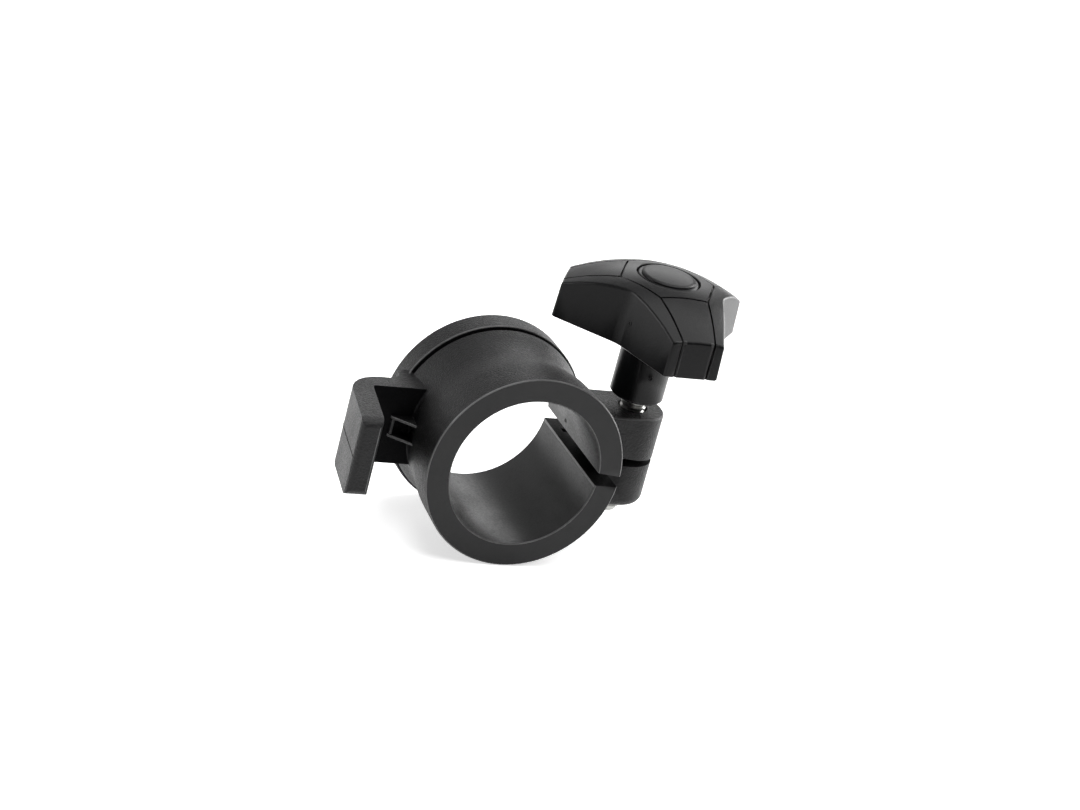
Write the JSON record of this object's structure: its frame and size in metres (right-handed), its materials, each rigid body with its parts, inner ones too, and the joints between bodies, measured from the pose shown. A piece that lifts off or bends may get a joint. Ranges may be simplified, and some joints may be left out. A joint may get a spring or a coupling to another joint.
{
  "type": "pipe clamp",
  "caption": "Black moulded split collar that clamps on a round pole, closed by a lobed hand knob on a bolt, with an L-shaped hook on the far side.",
  "frame": {"origin": "middle of the pole bore, on its axis, half way between the collar's two end faces", "axes": "Y along the bore with the flat front face towards -Y, Z along the clamp bolt with the knob up, and X from the hook to the lugs"},
  "size_m": [0.0931, 0.0397, 0.0662],
  "materials": {
    "collar_plastic": "fine matte moulded nylon",
    "knob_plastic": "satin moulded nylon",
    "cap_plastic": "satin moulded cap",
    "bolt_steel": "bright zinc plate",
    "nut_steel": "bright zinc plate"
  },
  "bodies": {
    "collar": {"collar": "collar_plastic", "captive_nut": "nut_steel"},
    "feed": {"knob_cap": "cap_plastic"},
    "knob": {"knob": "knob_plastic", "clamp_bolt": "bolt_steel"}
  },
  "joints": [
    {"name": "screw_feed", "type": "slide", "parent": "collar", "child": "feed", "axis": [0, 0, 1], "range_m": [-0.0025, 0.005]},
    {"name": "knob_turn", "type": "hinge", "parent": "feed", "child": "knob", "pos_m": [0.03065, 0.0013, 0], "axis": [0, 0, 1], "range_deg": [-905, 1805]}
  ],
  "couplings": [
    {"joint": "knob_turn", "follows": "screw_feed", "rad_per_m": 6283.2}
  ]
}
